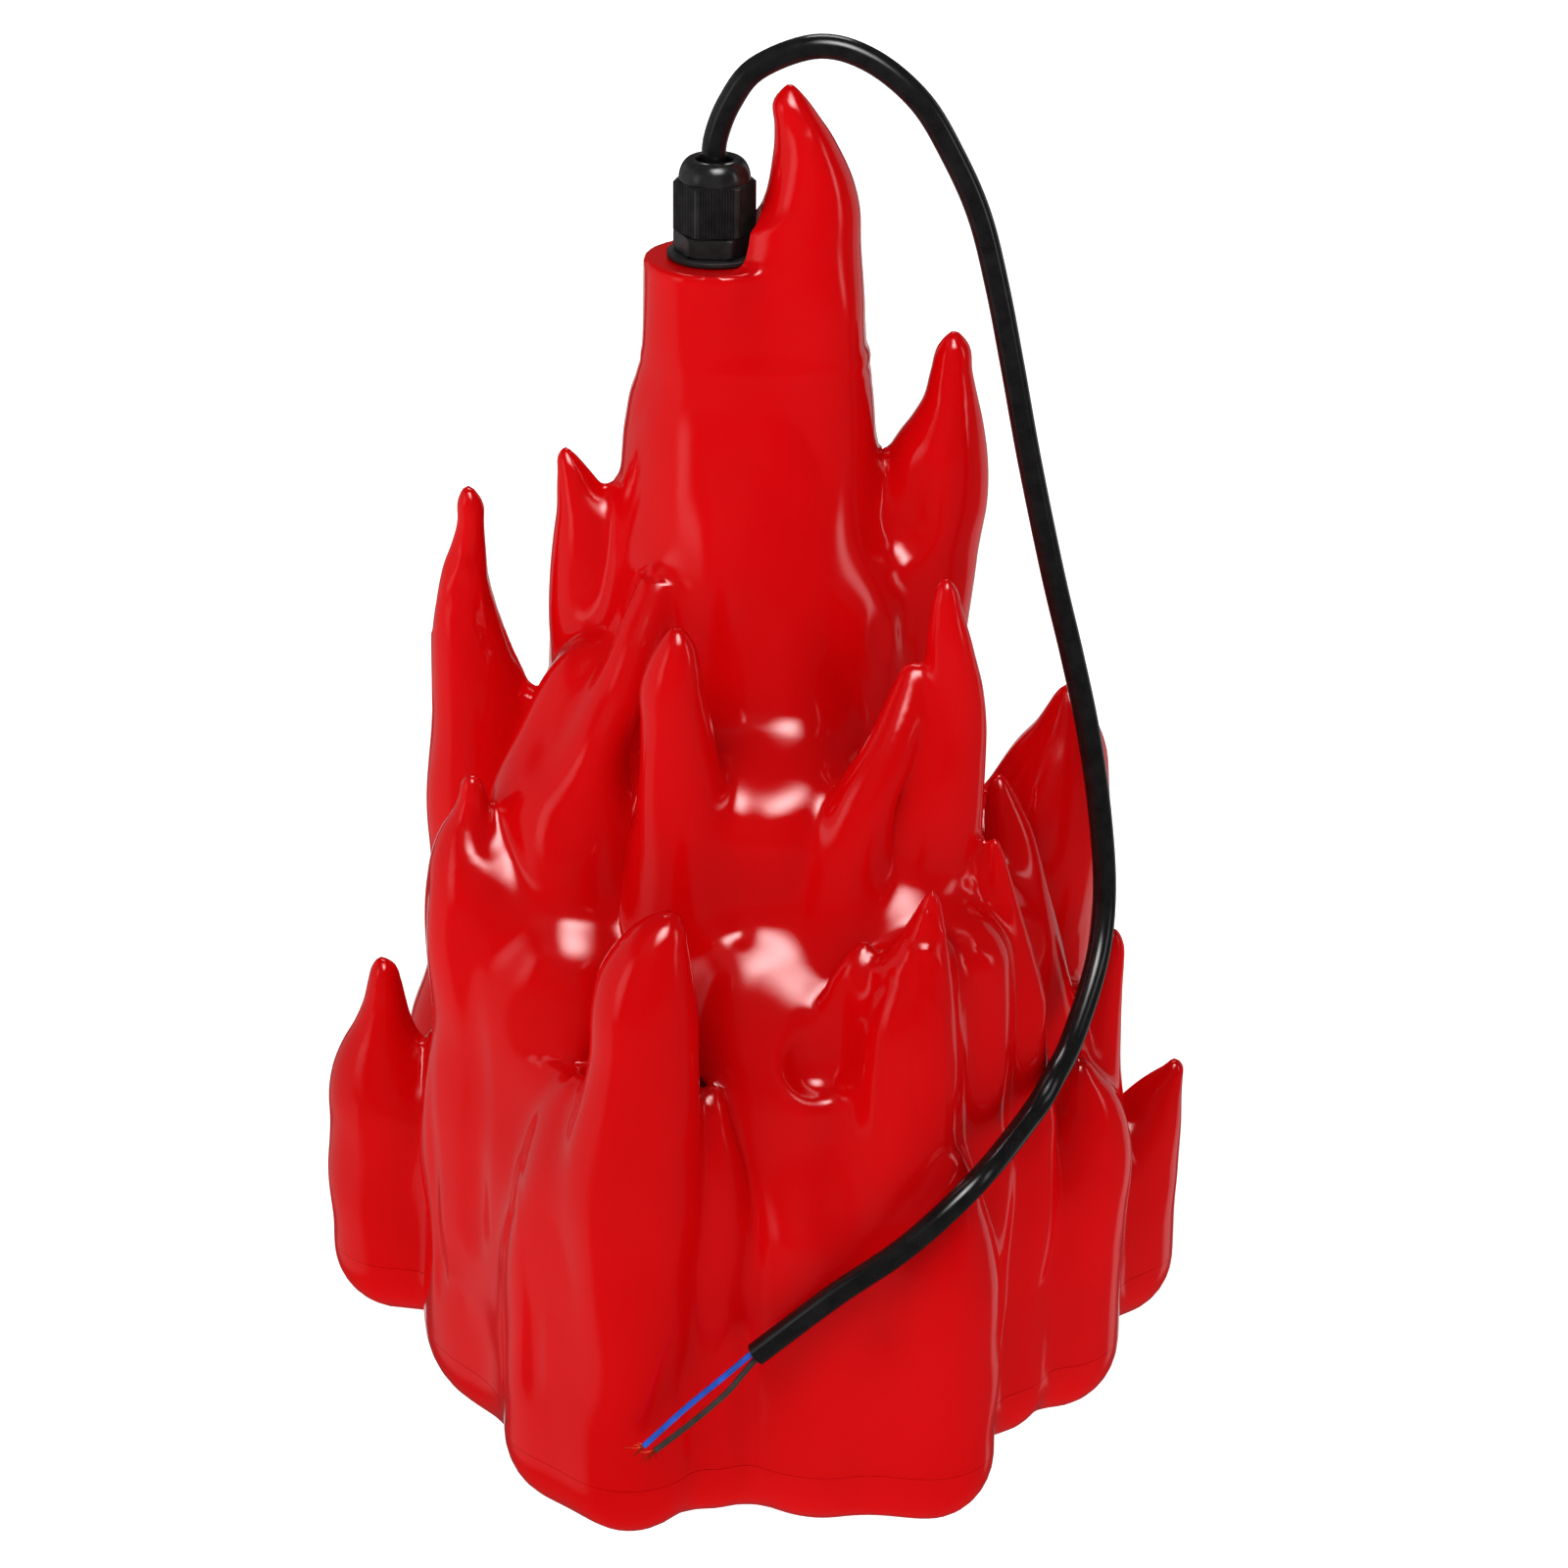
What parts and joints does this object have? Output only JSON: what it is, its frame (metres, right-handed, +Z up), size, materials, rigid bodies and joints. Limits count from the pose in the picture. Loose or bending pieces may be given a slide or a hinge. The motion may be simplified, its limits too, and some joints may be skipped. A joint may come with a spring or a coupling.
{
  "type": "flame effect light",
  "caption": "Standing flame-shaped lamp: hollow glossy red flame moulding on a screwed base tray, LED column inside, supply lead leaving upwards through a cable gland.",
  "frame": {"origin": "on the ground, under the middle of the base tray and flame", "axes": "+Z up along the flame; -Y towards the viewer of the picture, the side where the lead's bare ends lie; +X to that viewer's right, the side the lead falls down"},
  "size_m": [0.2462, 0.2474, 0.3833],
  "materials": {
    "flame_red": "high-gloss moulded plastic, slightly see-through red",
    "black_nylon": "satin black nylon",
    "black_rubber": "matt black",
    "lead_sheath": "semi-gloss black PVC",
    "core_blue": "semi-gloss blue PVC",
    "core_brown": "semi-gloss dark brown PVC",
    "white_plastic": "matt white",
    "clear_nylon": "milky nylon",
    "aluminium": "plain extruded",
    "steel": "zinc plated",
    "led_board": "white solder mask with yellow LEDs"
  },
  "bodies": {
    "lamp": {"base_tray": "flame_red", "carrier_cap": "white_plastic", "carrier_screw_1": "steel", "carrier_screw_2": "steel", "carrier_screw_3": "steel", "core_blue": "core_blue", "core_brown": "core_brown", "driver_case": "white_plastic", "driver_feed_lead": "lead_sheath", "driver_screw_1": "steel", "driver_screw_2": "steel", "flame_shell": "flame_red", "gland_body": "black_nylon", "gland_bush": "black_rubber", "gland_locknut": "black_nylon", "gland_washer": "black_rubber", "inner_core_blue": "core_blue", "inner_core_brown": "core_brown", "inner_lead": "lead_sheath", "led_carrier": "aluminium", "led_lead": "lead_sheath", "led_strip_1": "led_board", "led_strip_2": "led_board", "led_strip_3": "led_board", "led_strip_4": "led_board", "led_strip_5": "led_board", "led_strip_6": "led_board", "supply_lead": "lead_sheath", "terminal_block": "clear_nylon", "terminal_screw_1": "steel", "terminal_screw_2": "steel", "terminal_screw_3": "steel", "tray_screw_1": "steel", "tray_screw_2": "steel", "tray_screw_3": "steel", "tray_screw_4": "steel", "tray_screw_5": "steel", "tray_screw_6": "steel", "tray_seal": "black_rubber"},
    "gland_clamp": {"gland_claw": "black_nylon"},
    "gland_nut": {"gland_cap": "black_nylon"}
  },
  "joints": [
    {"name": "cap_rise", "type": "slide", "parent": "lamp", "child": "gland_clamp", "axis": [0, 0, 1], "range_m": [0, 0.0038]},
    {"name": "cap_turn", "type": "hinge", "parent": "gland_clamp", "child": "gland_nut", "pos_m": [-0.0123, 0, 0.338], "axis": [0, 0, 1], "range_deg": [0, 900]}
  ],
  "couplings": [
    {"joint": "cap_rise", "follows": "cap_turn", "m_per_rad": 0.00023873}
  ]
}
